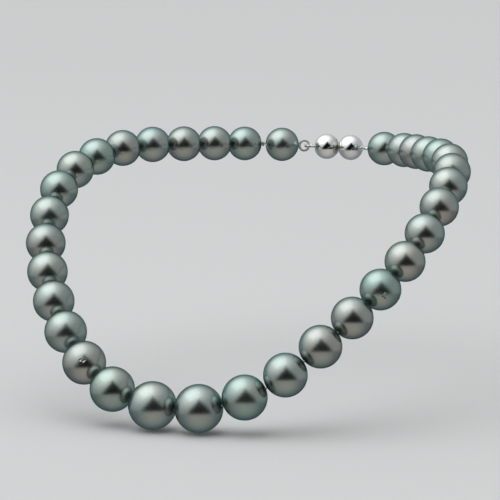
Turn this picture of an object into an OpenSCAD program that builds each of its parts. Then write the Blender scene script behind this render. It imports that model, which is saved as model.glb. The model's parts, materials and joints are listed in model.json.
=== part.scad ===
// Graduated pearl necklace, closed and draped as it is worn on a neck.
// Millimetres, +Z up. The wearer faces -Y and the wearer's left is +X.
// The origin is on the neck's axis, level with the highest pearls at the sides.

/* [Pearls] */
// Number of matched pairs of pearls, counted outwards from the front
pearl_pairs = 17; // [13:1:20]
// Diameter of the two front pearls
front_pearl_d = 12.5; // [9:0.1:15.5]
// Diameter of the last pearl at each end
end_pearl_d = 9.3; // [7.5:0.1:12]
// How the size falls away from the front: 1 is even, less drops sooner
graduation = 0.5; // [0.4:0.05:1.5]
// Hole drilled through each pearl
drill_d = 0.9; // [0.7:0.05:1.2]
// Slack between neighbouring pearls
pearl_gap = 0.25; // [0.2:0.05:0.5]

/* [Thread and knots] */
// Diameter of the stringing thread
thread_d = 0.5; // [0.3:0.05:0.6]
// Diameter of the knot before each last pearl
knot_d = 1.6; // [1.2:0.1:2.2]
// Slack on each side of a knot, and round the thread in it
knot_clear = 0.1; // [0.05:0.05:0.2]

/* [Gimp loops] */
// Outer diameter of the coiled wire that covers the thread's end loop
gimp_d = 0.7; // [0.5:0.05:0.9]
// Width inside the loop
gimp_loop_inner = 2.1; // [1.9:0.1:3]
// How far the loop's legs go into the last pearl
gimp_leg = 1.2; // [0.8:0.1:2]
// Slack between the last pearl and the loop, and round its legs
gimp_clear = 0.1; // [0.05:0.05:0.3]

/* [Magnetic clasp] */
// Diameter of each of the clasp's two balls
ball_d = 7; // [6:0.1:9]
// Gap between the two closed balls
clasp_gap = 0.15; // [0.1:0.05:0.3]
// Diameter of each magnet
magnet_d = 4; // [3:0.1:4.8]
// Length of each magnet, to the top of its domed face
magnet_h = 2.4; // [1.5:0.1:3]
// Slack between a magnet and its pocket
magnet_fit = 0.05; // [0.02:0.01:0.1]
// Outer diameter of each eye
eye_d = 2.8; // [2.4:0.1:3.2]
// Hole through each eye
eye_hole_d = 1.4; // [1.1:0.1:1.6]
// Thickness of each eye
eye_t = 0.8; // [0.6:0.1:1]
// Neck between an eye's rim and its ball
eye_neck = 0.3; // [0.2:0.1:1]
// Diameter of each eye's shank
shank_d = 1; // [0.7:0.1:1.2]
// How far the shank goes into its ball
shank_in = 1.6; // [1:0.1:2]
// Slack between a shank and its hole
shank_fit = 0.02; // [0.01:0.01:0.05]

/* [Hidden] */
$fn = 64;
LEFT = 1;
RIGHT = -1;
UP = [0, 0, 1];

// Half of the thread's route over the neck, from the front centre to the nape.
half_route = [
    [0, -62, -53], [21, -59, -48], [38, -47, -34], [50, -27, -18], [53, -6, -5],
    [47, 17, 0], [32, 38, -1], [17, 55, -3], [0, 61, -4]
];
steps_per_span = 16;

// The route as a smooth curve through its points.
function mirrored(p) = [-p[0], p[1], p[2]];
function between(a, b, c, d, t) =
    (2 * b + (c - a) * t + (2 * a - 5 * b + 4 * c - d) * t ^ 2
        + (3 * b - 3 * c + d - a) * t ^ 3) / 2;
last_point = len(half_route) - 1;
framed = concat(
    [mirrored(half_route[1])], half_route, [mirrored(half_route[last_point - 1])]);
curve = concat(
    [for (i = [0:last_point - 1]) for (j = [0:steps_per_span - 1])
        between(framed[i], framed[i + 1], framed[i + 2], framed[i + 3],
            j / steps_per_span)],
    [half_route[last_point]]);

// Pearl sizes, and the gap before each next pearl. The last gap holds the knot.
function pearl_d(place) =
    front_pearl_d
        - (front_pearl_d - end_pearl_d) * ((place - 1) / (pearl_pairs - 1)) ^ graduation;
function pearl_r(place) = pearl_d(place) / 2;
function gap_after(place) =
    place == pearl_pairs - 1 ? knot_d + 2 * knot_clear : pearl_gap;
function pitch_to(place) =
    place == 1 ? pearl_r(1) + pearl_gap / 2
        : pearl_r(place - 1) + gap_after(place - 1) + pearl_r(place);

// Clasp distances, measured along X from the middle of the closed clasp.
ball_r = ball_d / 2;
ball_x = clasp_gap / 2 + ball_r;
eye_x = clasp_gap / 2 + ball_d + eye_neck + eye_d / 2;
gimp_ring_r = (gimp_loop_inner + gimp_d) / 2;
eye_reach = pearl_r(pearl_pairs) + gimp_clear + gimp_d / 2 + 2 * gimp_ring_r;

// The place on the curve at a given reach from a point, searching on from index i.
function first_past(from, reach, i) =
    i >= len(curve) - 1 || norm(curve[i] - from) >= reach ? min(i, len(curve) - 1)
        : first_past(from, reach, i + 1);
function on_segment(a, b, from, reach) =
    let (
        along = b - a,
        back = a - from,
        qa = along * along,
        qb = 2 * along * back,
        qc = back * back - reach ^ 2
    )
    a + along * (sqrt(max(0, qb ^ 2 - 4 * qa * qc)) - qb) / (2 * qa);

// Pearl centres on the curve, with each pitch shrunk by the scale to be solved for.
function places_from(from, i, place, size) =
    place > pearl_pairs ? []
        : let (
            reach = pitch_to(place) / size,
            hit = first_past(from, reach, i),
            at = on_segment(curve[hit - 1], curve[hit], from, reach)
        )
        concat([at], places_from(at, hit, place + 1, size));
function centres_at(size) = size * places_from(curve[0], 1, 1, size);
function eye_at(size) =
    [eye_x, size * half_route[last_point][1], size * half_route[last_point][2]];
function spare_at(size) =
    let (end_centre = centres_at(size)[pearl_pairs - 1])
    end_centre[0] < eye_x ? -1 : norm(end_centre - eye_at(size)) - eye_reach;

// The drape's size, halved in on until the last pearl just reaches its clasp eye.
function closing_size(low, high, tries) =
    tries == 0 ? (low + high) / 2
        : let (middle = (low + high) / 2)
        spare_at(middle) > 0 ? closing_size(low, middle, tries - 1)
            : closing_size(middle, high, tries - 1);
drape_size = closing_size(0.5, 2, 30);
centres = centres_at(drape_size);
eye_point = eye_at(drape_size);
function unit(v) = v / norm(v);
function centre(place) = centres[place - 1];

// Where each pearl meets the next, and the thread's direction through each pearl.
function contact(place) =
    place == 0 ? [0, centre(1)[1], centre(1)[2]]
        : centre(place)
            + unit(centre(place + 1) - centre(place))
                * (pearl_r(place) + gap_after(place) / 2);
function drill_way(place) =
    place == pearl_pairs ? unit(eye_point - centre(place))
        : unit(contact(place) - contact(place - 1));
function hole_mouth(place, end) = centre(place) + end * pearl_r(place) * drill_way(place);
knot_point = (hole_mouth(pearl_pairs - 1, 1) + hole_mouth(pearl_pairs, -1)) / 2;
knot_way = unit(hole_mouth(pearl_pairs, -1) - hole_mouth(pearl_pairs - 1, 1));

// The thread runs straight in each hole and bends just inside its mouths, where
// its slack in the hole leaves it room to slant.
mouth_inset = 0.7 * (drill_d - thread_d);
thread_end_inset = gimp_leg + gimp_clear;
function thread_inset(place, end) =
    place == pearl_pairs && end == 1 ? thread_end_inset : mouth_inset;
half_thread = [for (place = [1:pearl_pairs]) for (end = [-1, 1])
    centre(place)
        + end * (pearl_r(place) - thread_inset(place, end)) * drill_way(place)];
thread_points = concat(
    [for (i = [len(half_thread) - 1:-1:0]) mirrored(half_thread[i])], half_thread);
thread_sides = 8;

pearl_color = [0.60, 0.64, 0.61];
thread_color = [0.72, 0.72, 0.68];
metal_color = [0.82, 0.82, 0.84];
magnet_color = [0.66, 0.66, 0.68];

function two_digits(n) = n < 10 ? str("0", n) : str(n);
function side_name(side) = side == LEFT ? "left" : "right";
function pearl_name(side, place) = str("pearl_", side_name(side), "_", two_digits(place));

// Everything is built on the wearer's left, and mirrored for the right.
module on_side(side) {
    if (side == LEFT) children();
    else mirror([1, 0, 0]) children();
}

// Turns the local Z axis along a direction.
module aimed(way) {
    rotate([0, acos(way[2]), atan2(way[1], way[0])]) children();
}

// The last pearl's hole also takes the gimp's legs, with their slack.
function bore_d(place) =
    place == pearl_pairs ? max(drill_d, gimp_d + 2 * gimp_clear) : drill_d;

// One round pearl with its drilled hole.
module pearl(side, place) {
    color(pearl_color)
    on_side(side)
    translate(centre(place))
    aimed(drill_way(place))
    difference() {
        sphere(d = pearl_d(place));
        cylinder(d = bore_d(place), h = 2 * pearl_d(place), center = true);
    }
}

// The thread, swept along its route from end to end.
function thread_tangent(i) =
    unit(
        (i == len(thread_points) - 1 ? [0, 0, 0] : unit(thread_points[i + 1] - thread_points[i]))
            + (i == 0 ? [0, 0, 0] : unit(thread_points[i] - thread_points[i - 1])));
function thread_ring(i) =
    let (
        way = thread_tangent(i),
        across = unit(cross(way, UP)),
        upward = cross(across, way)
    )
    [for (k = [0:thread_sides - 1])
        let (angle = 360 * k / thread_sides)
        thread_points[i] + thread_d / 2 * (cos(angle) * across + sin(angle) * upward)];
module stringing_thread() {
    rings = len(thread_points);
    color(thread_color)
    polyhedron(
        points = [for (i = [0:rings - 1]) each thread_ring(i)],
        faces = concat(
            [[for (k = [thread_sides - 1:-1:0]) k]],
            [for (i = [0:rings - 2]) for (k = [0:thread_sides - 1])
                let (next = (k + 1) % thread_sides)
                [i * thread_sides + k, i * thread_sides + next,
                    (i + 1) * thread_sides + next, (i + 1) * thread_sides + k]],
            [[for (k = [0:thread_sides - 1]) (rings - 1) * thread_sides + k]]));
}

// The knot that holds the end of the strand tight, before its last pearl.
module end_knot(side) {
    color(thread_color)
    on_side(side)
    translate(knot_point)
    aimed(knot_way)
    difference() {
        sphere(d = knot_d);
        cylinder(d = thread_d + 2 * knot_clear, h = 2 * knot_d, center = true);
    }
}

// The gimp: a ring of fine coiled wire round the thread's loop, with its legs
// in the last pearl. The ring stands upright through the clasp's eye.
module gimp_loop(side) {
    ring_z = eye_reach - gimp_ring_r;
    leg_z = pearl_r(pearl_pairs) - gimp_leg;
    color(metal_color)
    on_side(side)
    translate(centre(pearl_pairs))
    aimed(drill_way(pearl_pairs))
    union() {
        translate([0, 0, leg_z])
        cylinder(d = gimp_d, h = ring_z - gimp_ring_r - leg_z);
        translate([0, 0, ring_z])
        rotate([90, 0, 0])
        rotate_extrude() translate([gimp_ring_r, 0]) circle(d = gimp_d);
    }
}

// One polished ball of the clasp, bored for its magnet and its eye's shank.
module clasp_ball(side) {
    color(metal_color)
    on_side(side)
    translate([ball_x, eye_point[1], eye_point[2]])
    rotate([0, 90, 0])
    difference() {
        sphere(d = ball_d);
        translate([0, 0, -ball_d])
        cylinder(d = magnet_d + 2 * magnet_fit, h = ball_r + magnet_h + magnet_fit);
        translate([0, 0, ball_r - shank_in])
        cylinder(d = shank_d + 2 * shank_fit, h = ball_r);
    }
}

// The magnet, with its face domed to the ball's own radius.
module clasp_magnet(side) {
    color(magnet_color)
    on_side(side)
    translate([ball_x, eye_point[1], eye_point[2]])
    rotate([0, 90, 0])
    intersection() {
        sphere(d = ball_d);
        translate([0, 0, -ball_r])
        cylinder(d = magnet_d, h = magnet_h);
    }
}

// The eye on the far side of the ball, drilled upright for the gimp loop.
module clasp_eye(side) {
    color(metal_color)
    on_side(side)
    translate(eye_point)
    difference() {
        union() {
            cylinder(d = eye_d, h = eye_t, center = true);
            rotate([0, -90, 0])
            cylinder(d = shank_d, h = eye_d / 2 + eye_neck + shank_in);
        }
        cylinder(d = eye_hole_d, h = 2 * eye_t, center = true);
    }
}

for (side = [LEFT, RIGHT]) {
    for (place = [1:pearl_pairs]) {
        pearl(side, place);
    }
    end_knot(side);
    gimp_loop(side);
    clasp_ball(side);
    clasp_magnet(side);
    clasp_eye(side);
}
stringing_thread();
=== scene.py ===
# A graduated strand of dark pearls with a two-ball magnetic clasp, dressed piece
# by piece in the order it is strung. Lengths are in metres.
import json
import math

import bmesh
import bpy
from mathutils import Matrix, Vector, noise


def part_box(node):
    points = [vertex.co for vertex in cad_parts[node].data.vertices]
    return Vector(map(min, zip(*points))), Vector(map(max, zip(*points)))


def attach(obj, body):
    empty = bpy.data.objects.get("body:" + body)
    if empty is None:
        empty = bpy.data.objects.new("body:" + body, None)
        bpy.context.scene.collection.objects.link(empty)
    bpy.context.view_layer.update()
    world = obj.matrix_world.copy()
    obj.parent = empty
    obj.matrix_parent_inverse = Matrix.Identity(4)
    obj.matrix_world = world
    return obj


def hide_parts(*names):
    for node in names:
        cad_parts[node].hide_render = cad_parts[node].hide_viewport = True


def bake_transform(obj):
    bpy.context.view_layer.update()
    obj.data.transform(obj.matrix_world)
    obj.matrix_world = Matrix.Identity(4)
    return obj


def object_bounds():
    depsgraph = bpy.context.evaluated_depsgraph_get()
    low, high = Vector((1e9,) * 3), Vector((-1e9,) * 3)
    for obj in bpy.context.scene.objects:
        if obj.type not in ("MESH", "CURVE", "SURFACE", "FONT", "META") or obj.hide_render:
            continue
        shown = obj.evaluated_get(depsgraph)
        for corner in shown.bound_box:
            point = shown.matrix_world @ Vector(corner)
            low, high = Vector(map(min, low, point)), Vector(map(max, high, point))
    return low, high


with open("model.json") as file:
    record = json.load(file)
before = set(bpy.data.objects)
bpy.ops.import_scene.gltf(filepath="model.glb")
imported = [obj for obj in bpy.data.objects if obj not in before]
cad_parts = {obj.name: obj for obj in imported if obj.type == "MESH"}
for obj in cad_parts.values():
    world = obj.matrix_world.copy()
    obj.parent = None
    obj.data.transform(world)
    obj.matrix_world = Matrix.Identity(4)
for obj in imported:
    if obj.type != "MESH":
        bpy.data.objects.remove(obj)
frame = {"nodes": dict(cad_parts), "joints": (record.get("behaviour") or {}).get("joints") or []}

cad_low, cad_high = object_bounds()

# Camera. It stands before the strand and to the wearer's left, a little above
# it, and looks through a long lens with a slight lean.
camera_turn = math.radians(21.1)
camera_rise = math.radians(9.8)
camera_lean = math.radians(-0.84)
camera_distance = 1.137
camera_aim = Vector((-0.0032, 0, -0.0231))


def facing(turn, rise):
    """The direction at an angle round from the wearer's front and one above level."""
    return Vector((
        math.sin(turn) * math.cos(rise), -math.cos(turn) * math.cos(rise), math.sin(rise)))


towards_camera = facing(camera_turn, camera_rise)
level_right = Vector((math.cos(camera_turn), math.sin(camera_turn), 0))
level_up = towards_camera.cross(level_right)
frame_right = level_right * math.cos(camera_lean) + level_up * math.sin(camera_lean)
frame_up = level_up * math.cos(camera_lean) - level_right * math.sin(camera_lean)
camera = bpy.data.objects.new("camera", bpy.data.cameras.new("camera"))
camera.data.sensor_width = 36
camera.data.lens = 307
camera.matrix_world = (
    Matrix.Translation(camera_aim + towards_camera * camera_distance)
    @ Matrix((frame_right, frame_up, towards_camera)).transposed().to_4x4())
bpy.context.scene.collection.objects.link(camera)
bpy.context.scene.camera = camera

# Pearls. Each is a black-lipped oyster's cultured pearl, nacre grown round a
# bead: nearly round, drilled through, and matched in pairs that shrink outwards.
sides = ("left", "right")
pearl_pairs = sum(1 for node in frame["nodes"] if node.startswith("pearl_left_"))
hinge_at = {joint["name"]: Vector(joint["pos_m"]) for joint in frame["joints"]}
drill_radius = 0.00045
mouth_bevel = 0.00012
pearl_segments = 96
pearl_rings = 60
roundness_error = 0.004
pearl_seed_step = 7.3
left_seed = 50


def pearl_name(side, place):
    return f"pearl_{side}_{place:02d}"


def meeting_point(side, place):
    """Where a pearl meets the next one out; place 0 is the front centre."""
    if place == 0:
        return hinge_at["bend_front"]
    if place == pearl_pairs:
        return hinge_at[f"clasp_swing_{side}"]
    return hinge_at[f"bend_{side}_{place + 1:02d}"]


def pearl_centre(side, place):
    low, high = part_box(pearl_name(side, place))
    return (low + high) / 2


def pearl_radius(side, place):
    low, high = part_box(pearl_name(side, place))
    return max(high - low) / 2


def drill_way(side, place):
    """The direction of the drilled hole, outwards along the strand."""
    start = pearl_centre(side, place) if place == pearl_pairs else meeting_point(side, place - 1)
    return (meeting_point(side, place) - start).normalized()


def piece_from(name, bm, material):
    """Makes a smooth-shaded object of a bmesh and puts it in the scene."""
    bmesh.ops.recalc_face_normals(bm, faces=bm.faces)
    for face in bm.faces:
        face.smooth = True
    mesh = bpy.data.meshes.new(name)
    bm.to_mesh(mesh)
    bm.free()
    mesh.materials.append(material)
    piece = bpy.data.objects.new(name, mesh)
    bpy.context.scene.collection.objects.link(piece)
    return piece


def ring_surface(bm, rings, closed):
    """Skins a list of equal rings of points, and joins the last to the first if closed."""
    rows = [[bm.verts.new(point) for point in ring] for ring in rings]
    count = len(rows[0])
    for k in range(len(rows) if closed else len(rows) - 1):
        here, there = rows[k], rows[(k + 1) % len(rows)]
        for j in range(count):
            bm.faces.new((here[j], here[(j + 1) % count], there[(j + 1) % count], there[j]))
    return rows


def turned_ring(radius, height, segments):
    return [
        Vector((radius * math.cos(a), radius * math.sin(a), height))
        for a in (2 * math.pi * j / segments for j in range(segments))]


# Two of the pearls have a few small pits where the nacre didn't close. Each pit
# is given across and up from the mark's middle, then by its width and depth.
pit_marks = {
    "pearl_right_03": (math.radians(19), math.radians(17), [
        (-0.00062, 0.00012, 0.00026, 0.00011), (0.00016, -0.0001, 0.00032, 0.00014),
        (0.00062, 0.00018, 0.0002, 0.00007), (-0.00018, 0.0004, 0.00018, 0.00006)]),
    "pearl_left_06": (math.radians(30), math.radians(-6), [
        (0.0001, 0.0004, 0.00024, 0.00016), (-0.0004, -0.0001, 0.00022, 0.00012),
        (0.00016, -0.0005, 0.00026, 0.00016)]),
}
pit_field = 0.0018
pit_rim_share = 0.22
pit_rim_reach = 1.7
pit_rim_width = 0.5


def nacre_height(point, radius, seed, pits):
    """How far the skin stands from a true sphere at a point on it."""
    way = point.normalized()
    height = radius * roundness_error * noise.noise(way * 1.4 + Vector((seed, 0, 0)))
    for pit, width, depth in pits:
        away = (way * radius - pit).length / width
        height -= depth * math.exp(-away ** 2)
        rim = math.exp(-((away - pit_rim_reach) / pit_rim_width) ** 2)
        height += pit_rim_share * depth * rim
    return height


def pearl_piece(side, place, material):
    name = pearl_name(side, place)
    radius = pearl_radius(side, place)
    turn = drill_way(side, place).to_track_quat("Z", "Y").to_matrix()
    mouth_angle = math.asin((drill_radius + mouth_bevel) / radius)
    mouth_height = radius * math.cos(mouth_angle) - mouth_bevel
    skin = []
    for k in range(pearl_rings):
        angle = mouth_angle + (math.pi - 2 * mouth_angle) * k / (pearl_rings - 1)
        skin.append(turned_ring(radius * math.sin(angle), radius * math.cos(angle), pearl_segments))
    bore = [turned_ring(drill_radius, s * mouth_height, pearl_segments) for s in (-1, 1)]
    bm = bmesh.new()
    rows = ring_surface(bm, skin + bore, closed=True)
    bore_verts = set(rows[-1] + rows[-2])

    pits = []
    if name in pit_marks:
        mark_turn, mark_rise, mark_pits = pit_marks[name]
        mark = turn.transposed() @ facing(mark_turn, mark_rise)
        across = turn.transposed() @ Vector((math.cos(mark_turn), math.sin(mark_turn), 0))
        upward = mark.cross(across)
        for right, up, width, depth in mark_pits:
            pits.append(((mark * radius + across * right + upward * up), width, depth))
        near = [
            edge for edge in bm.edges
            if all((vert.co - mark * radius).length < pit_field for vert in edge.verts)]
        bmesh.ops.subdivide_edges(bm, edges=near, cuts=5, use_grid_fill=True)
    seed = pearl_seed_step * place + (left_seed if side == "left" else 0)
    for vert in bm.verts:
        if vert not in bore_verts:
            true_point = vert.co.normalized() * radius
            grown = nacre_height(true_point, radius, seed, pits)
            vert.co = true_point * (1 + grown / radius)
    bm.transform(Matrix.Translation(pearl_centre(side, place)) @ turn.to_4x4())
    return piece_from(name + "_nacre", bm, material)


def new_group(name, inputs, outputs):
    """A shader node group with named sockets, and the nodes that hold them."""
    group = bpy.data.node_groups.new(name, "ShaderNodeTree")
    for label, kind, value in inputs:
        socket = group.interface.new_socket(label, in_out="INPUT", socket_type=kind)
        socket.default_value = value
    for label, kind in outputs:
        group.interface.new_socket(label, in_out="OUTPUT", socket_type=kind)
    return group, group.nodes.new("NodeGroupInput"), group.nodes.new("NodeGroupOutput")


def noise_node(tree, place, scale, detail=3.0, distortion=0.0):
    node = tree.nodes.new("ShaderNodeTexNoise")
    node.inputs["Scale"].default_value = scale
    node.inputs["Detail"].default_value = detail
    node.inputs["Distortion"].default_value = distortion
    tree.links.new(place, node.inputs["Vector"])
    return node.outputs["Fac"]


def between_values(tree, value, low, high, from_low=0.3, from_high=0.7):
    """Maps a value that lies about its middle to a range of its own."""
    node = tree.nodes.new("ShaderNodeMapRange")
    node.inputs["From Min"].default_value = from_low
    node.inputs["From Max"].default_value = from_high
    for socket, bound in (("To Min", low), ("To Max", high)):
        if isinstance(bound, float):
            node.inputs[socket].default_value = bound
        else:
            tree.links.new(bound, node.inputs[socket])
    tree.links.new(value, node.inputs["Value"])
    return node.outputs["Result"]


def mixed(tree, share, first, second):
    node = tree.nodes.new("ShaderNodeMix")
    node.data_type = "RGBA"
    for socket, value in ((0, share), (6, first), (7, second)):
        if isinstance(value, bpy.types.NodeSocket):
            tree.links.new(value, node.inputs[socket])
        else:
            node.inputs[socket].default_value = value
    return node.outputs[2]


def nacre_layers():
    """Nacre's drifting overtones, pushed towards the darker overtone at the rim as painted edge
    shade, its fine dark flecks, and a satin skin.
    """
    group, given, made = new_group(
        "nacre_layers",
        [("Body", "NodeSocketColor", (0.5, 0.55, 0.52, 1)),
         ("Overtone", "NodeSocketColor", (0.4, 0.5, 0.48, 1)),
         ("Blush", "NodeSocketColor", (0.6, 0.55, 0.52, 1)),
         ("Edge tint and shade", "NodeSocketFloat", 0.0)],
        [("Color", "NodeSocketColor"), ("Roughness", "NodeSocketFloat"),
         ("Height", "NodeSocketFloat")])
    place = group.nodes.new("ShaderNodeTexCoord").outputs["Object"]
    drift = noise_node(group, place, 95, detail=2, distortion=0.4)
    bloom = noise_node(group, place, 160, detail=1)
    fleck = noise_node(group, place, 1900, detail=4)
    skin = noise_node(group, place, 5200, detail=2)
    # Painted edge shade: the facing value pushes the colour towards the darker overtone at the rim,
    # on top of the random drift.
    overtone_and_edge_shade = group.nodes.new("ShaderNodeMath")
    overtone_and_edge_shade.operation = "MULTIPLY_ADD"
    group.links.new(given.outputs["Edge tint and shade"], overtone_and_edge_shade.inputs[0])
    overtone_and_edge_shade.inputs[1].default_value = 0.62
    group.links.new(between_values(group, drift, -0.15, 0.6), overtone_and_edge_shade.inputs[2])
    share = between_values(group, overtone_and_edge_shade.outputs["Value"], 0.0, 1.0, 0.1, 0.95)
    toned = mixed(group, share, given.outputs["Body"], given.outputs["Overtone"])
    blushed = mixed(group, between_values(group, bloom, 0.0, 0.55, 0.52, 0.72), toned,
                    given.outputs["Blush"])
    flecked = mixed(group, between_values(group, fleck, 0.0, 0.22), blushed,
                    (0.26, 0.30, 0.285, 1))
    group.links.new(flecked, made.inputs["Color"])
    group.links.new(between_values(group, drift, 0.235, 0.29), made.inputs["Roughness"])
    group.links.new(skin, made.inputs["Height"])
    return group


nacre_group = nacre_layers()


def principled(name):
    material = bpy.data.materials.new(name)
    material.use_nodes = True
    return material, material.node_tree, material.node_tree.nodes["Principled BSDF"]


def bumped(tree, shader, height, strength, distance):
    node = tree.nodes.new("ShaderNodeBump")
    node.inputs["Strength"].default_value = strength
    node.inputs["Distance"].default_value = distance
    tree.links.new(height, node.inputs["Height"])
    tree.links.new(node.outputs["Normal"], shader.inputs["Normal"])


def nacre(tone, body, overtone, blush):
    """Metal-bright nacre under a clear outer layer. Its overtone grows towards the rim it turns
    from the camera, partly nacre's real shift of colour and partly painted edge shade, and the edge
    itself is dark."""
    material, tree, shader = principled(f"nacre_{tone}")
    layers = tree.nodes.new("ShaderNodeGroup")
    layers.node_tree = nacre_group
    layers.inputs["Body"].default_value = (*body, 1)
    layers.inputs["Overtone"].default_value = (*overtone, 1)
    layers.inputs["Blush"].default_value = (*blush, 1)
    # Painted edge shade: the further the skin turns from the camera, the more its colour darkens
    # towards the overtone.
    edge_shade_facing = tree.nodes.new("ShaderNodeLayerWeight")
    edge_shade_facing.inputs["Blend"].default_value = 0.42
    tree.links.new(edge_shade_facing.outputs["Facing"], layers.inputs["Edge tint and shade"])
    tree.links.new(layers.outputs["Color"], shader.inputs["Base Color"])
    tree.links.new(layers.outputs["Roughness"], shader.inputs["Roughness"])
    bumped(tree, shader, layers.outputs["Height"], 0.05, 0.00004)
    shader.inputs["Metallic"].default_value = 0.98
    shader.inputs["Specular Tint"].default_value = (0.13, 0.27, 0.28, 1)
    shader.inputs["Coat Weight"].default_value = 0.18
    shader.inputs["Coat Roughness"].default_value = 0.16
    shader.inputs["Coat IOR"].default_value = 1.5
    return material


tones = {
    "silver": nacre("silver", (0.40, 0.43, 0.41), (0.325, 0.425, 0.42), (0.43, 0.435, 0.40)),
    "sea": nacre("sea", (0.375, 0.43, 0.405), (0.285, 0.42, 0.40), (0.415, 0.425, 0.38)),
    "smoke": nacre("smoke", (0.405, 0.415, 0.395), (0.32, 0.39, 0.395), (0.445, 0.41, 0.38)),
    "rose": nacre("rose", (0.425, 0.425, 0.40), (0.34, 0.41, 0.395), (0.475, 0.415, 0.385)),
}
tones_outwards = {
    "left": "silver sea silver smoke smoke sea rose silver rose silver smoke silver sea "
            "silver smoke silver sea".split(),
    "right": "silver sea smoke silver silver silver smoke silver sea silver sea smoke silver "
             "smoke silver sea silver".split(),
}
for side in sides:
    for place in range(1, pearl_pairs + 1):
        tone = tones_outwards[side][(place - 1) % len(tones_outwards[side])]
        pearl = pearl_piece(side, place, tones[tone])
        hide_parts(pearl_name(side, place))
        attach(pearl, pearl_name(side, place))

# Stringing thread. Two plies of grey silk twisted together run through every
# pearl, so each length here is the stretch from one pearl's middle to the next's.
thread_radius = 0.00025
ply_pitch = 0.0011
ply_waist = 0.74
thread_step = 0.00012
thread_sides = 12
mouth_inset = 0.00028


def along(points, step):
    """Evenly spaced places on a polyline, each with its direction and distance."""
    travelled = 0.0
    places = []
    for a, b in zip(points, points[1:]):
        length = (b - a).length
        count = max(1, round(length / step))
        for k in range(count):
            share = k / count
            places.append((a.lerp(b, share), (b - a).normalized(), travelled + length * share))
        travelled += length
    places.append((points[-1], (points[-1] - points[-2]).normalized(), travelled))
    return places


def crosswise(way):
    """Two directions square to a way, the first one level."""
    across = way.cross(Vector((0, 0, 1))).normalized()
    return across, across.cross(way)


def ply_rings(points, radius, pitch, step, sides_round):
    """Rings of a two-ply thread: the plies' figure of eight turns as it goes."""
    rings = []
    for at, way, distance in along(points, step):
        across, upward = crosswise(way)
        twist = 2 * math.pi * distance / pitch
        ring = []
        for j in range(sides_round):
            angle = 2 * math.pi * j / sides_round
            reach = radius * (ply_waist + (1 - ply_waist) * abs(math.cos(angle - twist)))
            ring.append(at + across * reach * math.cos(angle) + upward * reach * math.sin(angle))
        rings.append(ring)
    return rings


def capped_tube(bm, rings):
    rows = ring_surface(bm, rings, closed=False)
    bm.faces.new(rows[0])
    bm.faces.new(rows[-1])


def silk():
    """Dull twisted silk, soiled a little where fingers have run along it."""
    material, tree, shader = principled("grey_silk")
    place = tree.nodes.new("ShaderNodeTexCoord").outputs["Object"]
    fibre = noise_node(tree, place, 9000, detail=3)
    soil = noise_node(tree, place, 300, detail=2)
    fibred = mixed(tree, between_values(tree, fibre, 0.0, 0.7), (0.42, 0.42, 0.39, 1),
                   (0.56, 0.56, 0.53, 1))
    soiled = mixed(tree, between_values(tree, soil, 0.0, 0.5), fibred, (0.34, 0.33, 0.30, 1))
    tree.links.new(soiled, shader.inputs["Base Color"])
    tree.links.new(between_values(tree, fibre, 0.6, 0.85), shader.inputs["Roughness"])
    bumped(tree, shader, fibre, 0.4, 0.00002)
    shader.inputs["Sheen Weight"].default_value = 0.3
    return material


silk_thread = silk()


def hole_point(side, place, end, inset):
    """A point in a drilled hole, an inset inside its inner (-1) or outer (1) mouth."""
    reach = pearl_radius(side, place) - inset
    return pearl_centre(side, place) + drill_way(side, place) * end * reach


def thread_piece(name, points):
    bm = bmesh.new()
    capped_tube(bm, ply_rings(points, thread_radius, ply_pitch, thread_step, thread_sides))
    piece = piece_from(name, bm, silk_thread)
    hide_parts("stringing_thread")
    return piece


inner_ends = [hole_point(side, 1, -1, mouth_inset) for side in ("right", "left")]
front_length = thread_piece("thread_front", [
    pearl_centre("right", 1), *inner_ends, pearl_centre("left", 1)])
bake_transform(front_length)
for side in sides:
    for place in range(1, pearl_pairs):
        leaving = hole_point(side, place, 1, mouth_inset)
        entering = hole_point(side, place + 1, -1, mouth_inset)
        length = thread_piece(f"thread_{side}_{place:02d}", [
            pearl_centre(side, place), leaving, entering, pearl_centre(side, place + 1)])
        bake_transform(length)

# End knots. Before its last pearl each end of the thread is tied round the
# strand in a tight overhand knot, which sits between the two pearls' mouths.
knot_reach = 0.00055
knot_thread_radius = 0.00021
knot_points = 120
knot_sides = 10


def tube_rings(points, ways, radius, sides_round):
    """Plain round rings along a curve, carried without twisting."""
    rings = []
    across = crosswise(ways[0])[0]
    for at, way in zip(points, ways):
        across = (across - way * across.dot(way)).normalized()
        upward = way.cross(across)
        rings.append([
            at + (across * math.cos(a) + upward * math.sin(a)) * radius
            for a in (2 * math.pi * j / sides_round for j in range(sides_round))])
    return rings


def closed_ways(points):
    count = len(points)
    return [(points[(k + 1) % count] - points[k - 1]).normalized() for k in range(count)]


for side in sides:
    low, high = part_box(f"end_knot_{side}")
    knot_way = (hole_point(side, pearl_pairs, -1, 0)
                - hole_point(side, pearl_pairs - 1, 1, 0)).normalized()
    to_knot = (Matrix.Translation((low + high) / 2)
               @ knot_way.to_track_quat("Z", "Y").to_matrix().to_4x4())
    turns = []
    for k in range(knot_points):
        t = 2 * math.pi * k / knot_points
        turns.append(knot_reach / 3 * Vector((
            math.sin(t) + 2 * math.sin(2 * t), math.cos(t) - 2 * math.cos(2 * t),
            -1.3 * math.sin(3 * t))))
    bm = bmesh.new()
    knot_rings = tube_rings(turns, closed_ways(turns), knot_thread_radius, knot_sides)
    ring_surface(bm, knot_rings, closed=True)
    bm.transform(to_knot)
    knot = piece_from(f"knot_{side}", bm, silk_thread)
    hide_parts(f"end_knot_{side}")
    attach(knot, pearl_name(side, pearl_pairs))

# Gimp loops. Fine silvered wire wound into a tiny hose covers the thread where
# it turns back through the clasp's eye, and its ends are tucked into the pearl.
gimp_radius = 0.00035
gimp_wire_radius = 0.00006
gimp_pitch = 0.000128
gimp_loop_radius = 0.0014
gimp_leg = 0.0012
gimp_points_per_turn = 14
gimp_wire_sides = 6
core_radius = gimp_radius - 1.6 * gimp_wire_radius
core_sides = 10


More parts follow.
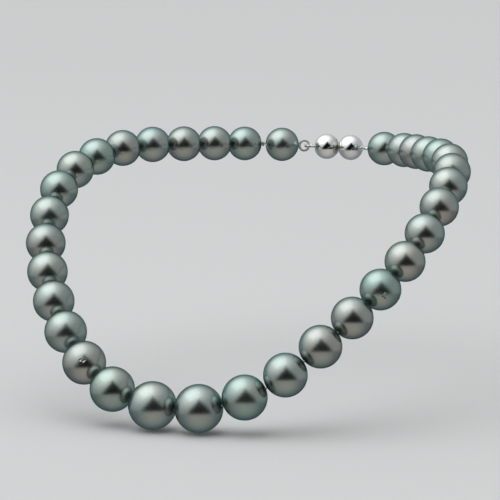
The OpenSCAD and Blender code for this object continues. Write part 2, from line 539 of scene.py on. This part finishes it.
def handling_wear():
    """Fine rubbed scratches and a faint film, for anything plated and polished."""
    group, given, made = new_group(
        "handling_wear",
        [("Plating", "NodeSocketColor", (0.8, 0.8, 0.82, 1)),
         ("Film", "NodeSocketColor", (0.6, 0.6, 0.62, 1)),
         ("Gloss", "NodeSocketFloat", 0.12)],
        [("Color", "NodeSocketColor"), ("Roughness", "NodeSocketFloat"),
         ("Height", "NodeSocketFloat")])
    place = group.nodes.new("ShaderNodeTexCoord").outputs["Object"]
    stretch = group.nodes.new("ShaderNodeMapping")
    stretch.inputs["Scale"].default_value = (1, 1, 14)
    stretch.inputs["Rotation"].default_value = (0.6, 0.3, 0.9)
    group.links.new(place, stretch.inputs["Vector"])
    scratch = noise_node(group, stretch.outputs["Vector"], 1400, detail=5)
    film = noise_node(group, place, 420, detail=3)
    filmed = mixed(group, between_values(group, film, 0.0, 0.45), given.outputs["Plating"],
                   given.outputs["Film"])
    group.links.new(filmed, made.inputs["Color"])
    rubbed = group.nodes.new("ShaderNodeMath")
    rubbed.operation = "ADD"
    group.links.new(given.outputs["Gloss"], rubbed.inputs[0])
    group.links.new(between_values(group, scratch, -0.03, 0.12), rubbed.inputs[1])
    group.links.new(rubbed.outputs["Value"], made.inputs["Roughness"])
    group.links.new(scratch, made.inputs["Height"])
    return group


wear_group = handling_wear()


def plated(name, plating, film, gloss, scratch_depth):
    material, tree, shader = principled(name)
    wear = tree.nodes.new("ShaderNodeGroup")
    wear.node_tree = wear_group
    wear.inputs["Plating"].default_value = (*plating, 1)
    wear.inputs["Film"].default_value = (*film, 1)
    wear.inputs["Gloss"].default_value = gloss
    tree.links.new(wear.outputs["Color"], shader.inputs["Base Color"])
    tree.links.new(wear.outputs["Roughness"], shader.inputs["Roughness"])
    bumped(tree, shader, wear.outputs["Height"], 0.12, scratch_depth)
    shader.inputs["Metallic"].default_value = 1
    return material


gimp_wire = plated("gimp_wire", (0.78, 0.77, 0.75), (0.52, 0.50, 0.46), 0.2, 0.000004)


def wound(points, ways):
    """The wire's helix round a line of points, one full turn per pitch."""
    coil = []
    across = crosswise(ways[0])[0]
    for k, (at, way) in enumerate(zip(points, ways)):
        across = (across - way * across.dot(way)).normalized()
        angle = 2 * math.pi * k / gimp_points_per_turn
        spoke = across * math.cos(angle) + way.cross(across) * math.sin(angle)
        coil.append(at + spoke * (gimp_radius - gimp_wire_radius))
    return coil


def open_ways(points):
    last = len(points) - 1
    return [
        (points[min(k + 1, last)] - points[max(k - 1, 0)]).normalized() for k in range(last + 1)]


for side in sides:
    way = drill_way(side, pearl_pairs)
    upward = crosswise(way)[1]
    loop_centre = hinge_at[f"clasp_swing_{side}"] - way * gimp_loop_radius
    loop_turns = round(2 * math.pi * gimp_loop_radius / gimp_pitch)
    loop_count = loop_turns * gimp_points_per_turn
    loop = [
        loop_centre + (way * math.cos(a) + upward * math.sin(a)) * gimp_loop_radius
        for a in (2 * math.pi * k / loop_count for k in range(loop_count))]
    leg_start = hole_point(side, pearl_pairs, 1, gimp_leg)
    leg_end = loop_centre - way * gimp_loop_radius
    leg_count = round((leg_end - leg_start).length / gimp_pitch * gimp_points_per_turn)
    leg = [leg_start.lerp(leg_end, k / leg_count) for k in range(leg_count + 1)]

    bm = bmesh.new()
    loop_wire = wound(loop, closed_ways(loop))
    loop_rings = tube_rings(loop_wire, closed_ways(loop_wire), gimp_wire_radius, gimp_wire_sides)
    ring_surface(bm, loop_rings, closed=True)
    leg_wire = wound(leg, open_ways(leg))
    capped_tube(bm, tube_rings(leg_wire, open_ways(leg_wire), gimp_wire_radius, gimp_wire_sides))
    gimp = piece_from(f"gimp_{side}", bm, gimp_wire)
    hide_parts(f"gimp_loop_{side}")
    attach(gimp, pearl_name(side, pearl_pairs))

    bm = bmesh.new()
    core = loop[::gimp_points_per_turn]
    ring_surface(bm, tube_rings(core, closed_ways(core), core_radius, core_sides), closed=True)
    tail = [pearl_centre(side, pearl_pairs), leg_start, leg_end]
    capped_tube(bm, ply_rings(tail, core_radius, ply_pitch, thread_step, thread_sides))
    thread_loop = piece_from(f"thread_loop_{side}", bm, silk_thread)
    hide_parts("stringing_thread")
    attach(thread_loop, pearl_name(side, pearl_pairs))

# Clasp balls. Two silver balls, spun, polished and rhodium plated, close face to
# face. Each is bored at its face for a magnet, and the eye's shank sits in its back.
edge_round = 0.00012
turned_segments = 72
magnet_radius = 0.002
magnet_height = 0.0024
pocket_slack = 0.00005


def turned_piece(bm, outline, place, closed=False):
    """Spins an outline of (radius, height) points, and moves the result to its place."""
    rings = [turned_ring(radius, height, turned_segments) for radius, height in outline]
    before = set(bm.verts)
    ring_surface(bm, rings, closed)
    fresh = [v for v in bm.verts if v not in before]
    bmesh.ops.transform(bm, matrix=place, verts=fresh)
    bmesh.ops.remove_doubles(bm, verts=fresh, dist=1e-7)


def ball_frame(side):
    """The ball's radius, its middle, and a frame whose Z looks at the other ball."""
    low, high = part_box(f"clasp_ball_{side}")
    radius = (high.z - low.z) / 2
    inward = Vector((-1, 0, 0)) if side == "left" else Vector((1, 0, 0))
    back = high.x if side == "left" else low.x
    centre = Vector((back + inward.x * radius, (low.y + high.y) / 2, (low.z + high.z) / 2))
    turn = inward.to_track_quat("Z", "Y").to_matrix().to_4x4()
    return radius, centre, Matrix.Translation(centre) @ turn


def arc(radius, start, end, count):
    """(radius, height) points on a ball between two angles from its face."""
    angles = [start + (end - start) * k / (count - 1) for k in range(count)]
    return [(radius * math.sin(a), radius * math.cos(a)) for a in angles]


polished = plated("rhodium_plate", (0.83, 0.83, 0.85), (0.70, 0.69, 0.69), 0.08, 0.000004)
for side in sides:
    radius, centre, place = ball_frame(side)
    pocket_radius = magnet_radius + pocket_slack
    mouth_angle = math.asin((pocket_radius + edge_round) / radius)
    mouth_height = radius * math.cos(mouth_angle)
    pocket_floor = radius - magnet_height - pocket_slack
    outline = [
        (0, pocket_floor), (pocket_radius, pocket_floor),
        (pocket_radius, mouth_height - edge_round),
        (pocket_radius + 0.3 * edge_round, mouth_height - 0.25 * edge_round)]
    outline += arc(radius, mouth_angle, math.pi, 40)
    bm = bmesh.new()
    turned_piece(bm, outline, place)
    ball = piece_from(f"ball_{side}", bm, polished)
    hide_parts(f"clasp_ball_{side}")
    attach(ball, f"clasp_half_{side}")

# Magnets. A nickel-plated rare-earth slug is glued into each ball, its face
# ground to the ball's own curve so that the two halves roll together.
nickel = plated("nickel_plate", (0.62, 0.60, 0.56), (0.46, 0.44, 0.41), 0.24, 0.000008)
for side in sides:
    radius, centre, place = ball_frame(side)
    rim_angle = math.asin((magnet_radius - edge_round) / radius)
    side_top = radius * math.cos(rim_angle) - 0.6 * edge_round
    back_height = radius - magnet_height
    outline = [
        (0, back_height), (magnet_radius - edge_round, back_height),
        (magnet_radius, back_height + edge_round), (magnet_radius, side_top - 0.5 * edge_round),
        (magnet_radius - 0.4 * edge_round, side_top + 0.3 * edge_round)]
    outline += arc(radius, rim_angle, 0, 16)
    bm = bmesh.new()
    turned_piece(bm, outline, place)
    magnet = piece_from(f"magnet_{side}", bm, nickel)
    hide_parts(f"clasp_magnet_{side}")
    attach(magnet, f"clasp_half_{side}")

# Eyes. A cast ring on a short shank is pressed and soldered into the back of each
# ball, with its hole upright so that the gimp loop passes through it.
eye_outer = 0.0014
eye_inner = 0.0007
eye_half_thickness = 0.0004
shank_radius = 0.0005
shank_depth = 0.0016
collar_radius = 0.0008
ring_section_points = 20

for side in sides:
    radius, centre, place = ball_frame(side)
    eye_at = hinge_at[f"clasp_swing_{side}"]
    middle = (eye_outer + eye_inner) / 2
    half_width = (eye_outer - eye_inner) / 2
    section = []
    for k in range(ring_section_points):
        a = 2 * math.pi * k / ring_section_points
        section.append((
            middle + half_width * math.copysign(abs(math.cos(a)) ** 0.7, math.cos(a)),
            eye_half_thickness * math.copysign(abs(math.sin(a)) ** 0.7, math.sin(a))))
    bm = bmesh.new()
    turned_piece(bm, section, Matrix.Translation(eye_at), closed=True)
    back = radius
    to_ring = (eye_at - centre).length - eye_outer
    shank = [
        (0, -back + shank_depth), (shank_radius, -back + shank_depth),
        (shank_radius, -back + 0.0004), (collar_radius, -back + 0.00006),
        (collar_radius * 0.94, -back - 0.00006), (shank_radius * 1.1, -back - 0.00014),
        (shank_radius * 0.9, -to_ring), (shank_radius * 0.8, -to_ring - 0.00025),
        (0, -to_ring - 0.0003)]
    turned_piece(bm, shank, place)
    eye = piece_from(f"eye_{side}", bm, polished)
    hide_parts(f"clasp_eye_{side}")
    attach(eye, f"clasp_half_{side}")

# Studio. The strand rests with its lowest pearls on plain pale paper, under one
# broad soft light, with a pale surround that is open and dark towards the camera.
paper_size = 8.0
paper_gap = 0.0002
paper = bpy.data.materials.new("pale_paper")
paper.use_nodes = True
paper_tree = paper.node_tree
paper_shader = paper_tree.nodes["Principled BSDF"]
paper_place = paper_tree.nodes.new("ShaderNodeTexCoord").outputs["Object"]
paper_grain = noise_node(paper_tree, paper_place, 900, detail=4)
paper_colour = mixed(paper_tree, between_values(paper_tree, paper_grain, 0.0, 0.5),
                     (0.61, 0.60, 0.615, 1), (0.58, 0.57, 0.585, 1))
paper_tree.links.new(paper_colour, paper_shader.inputs["Base Color"])
paper_shader.inputs["Roughness"].default_value = 0.9
bm = bmesh.new()
bmesh.ops.create_grid(bm, x_segments=8, y_segments=8, size=paper_size / 2)
floor = piece_from("floor", bm, paper)
floor.location.z = cad_low.z - paper_gap
# What is glossy mirrors the surround's own lower half instead of the paper.
floor.visible_glossy = False

softbox_distance = 0.6
softbox = bpy.data.objects.new("softbox", bpy.data.lights.new("softbox", "AREA"))
softbox.data.shape = "RECTANGLE"
softbox.data.size = 0.8
softbox.data.size_y = 0.65
softbox.data.energy = 0.62
softbox.data.color = (0.95, 1.0, 0.985)
softbox_way = facing(camera_turn - math.radians(84), math.radians(65))
softbox.location = softbox_way * softbox_distance
softbox.rotation_euler = softbox_way.to_track_quat("Z", "Y").to_euler()
bpy.context.scene.collection.objects.link(softbox)

surround = bpy.data.worlds.new("surround")
surround.use_nodes = True
bpy.context.scene.world = surround
sky = surround.node_tree
sky_way = sky.nodes.new("ShaderNodeTexCoord").outputs["Generated"]


def sky_math(operation, *values):
    node = sky.nodes.new("ShaderNodeMath")
    node.operation = operation
    for socket, value in zip(node.inputs, values):
        if isinstance(value, bpy.types.NodeSocket):
            sky.links.new(value, socket)
        else:
            socket.default_value = value
    return node.outputs["Value"]


def sky_dot(way):
    node = sky.nodes.new("ShaderNodeVectorMath")
    node.operation = "DOT_PRODUCT"
    sky.links.new(sky_way, node.inputs[0])
    node.inputs[1].default_value = way
    return node.outputs["Value"]


# The surround is brightest overhead, where the light soaks through it, and dim
# below. Its opening is a triangle, widest at the table's edge and closed at its top.
opening_turn = camera_turn + math.radians(5)
opening_half_width = math.radians(60)
opening_base = math.radians(-13)
opening_top = math.radians(62)
opening_edge = math.radians(6)
sky_rise = sky_math("ARCSINE", sky_dot((0, 0, 1)))
sky_turn = sky_math("ARCTAN2", sky_dot((math.cos(opening_turn), math.sin(opening_turn), 0)),
                    sky_dot((math.sin(opening_turn), -math.cos(opening_turn), 0)))
width_left = sky_math("MULTIPLY", sky_math("SUBTRACT", opening_top, sky_rise),
                      opening_half_width / (opening_top - opening_base))
inside = sky_math("SUBTRACT", width_left, sky_math("ABSOLUTE", sky_turn))
openness = between_values(sky, inside, 0.0, 1.0, -opening_edge, 2 * opening_edge)
overhead = sky_math("POWER", between_values(sky, sky_dot(softbox_way), 0.0, 1.0, 0.0, 1.0), 2.5)
wall_colour = mixed(sky, overhead, (0.47, 0.485, 0.475, 1), (1.80, 1.86, 1.83, 1))
open_colour = mixed(sky, openness, wall_colour, (0.002, 0.003, 0.003, 1))
table_way = facing(camera_turn, math.radians(-40))
before = between_values(sky, sky_dot(table_way), 0.0, 1.0, 0.3, 1.0)
table_colour = mixed(sky, before, (0.25, 0.27, 0.28, 1), (0.57, 0.54, 0.495, 1))
below = between_values(sky, sky_rise, 1.0, 0.0, opening_base - opening_edge, opening_base)
sky.links.new(mixed(sky, below, open_colour, table_colour), sky.nodes["Background"].inputs["Color"])
sky.nodes["Background"].inputs["Strength"].default_value = 1.0

bpy.context.scene.view_settings.view_transform = "Standard"
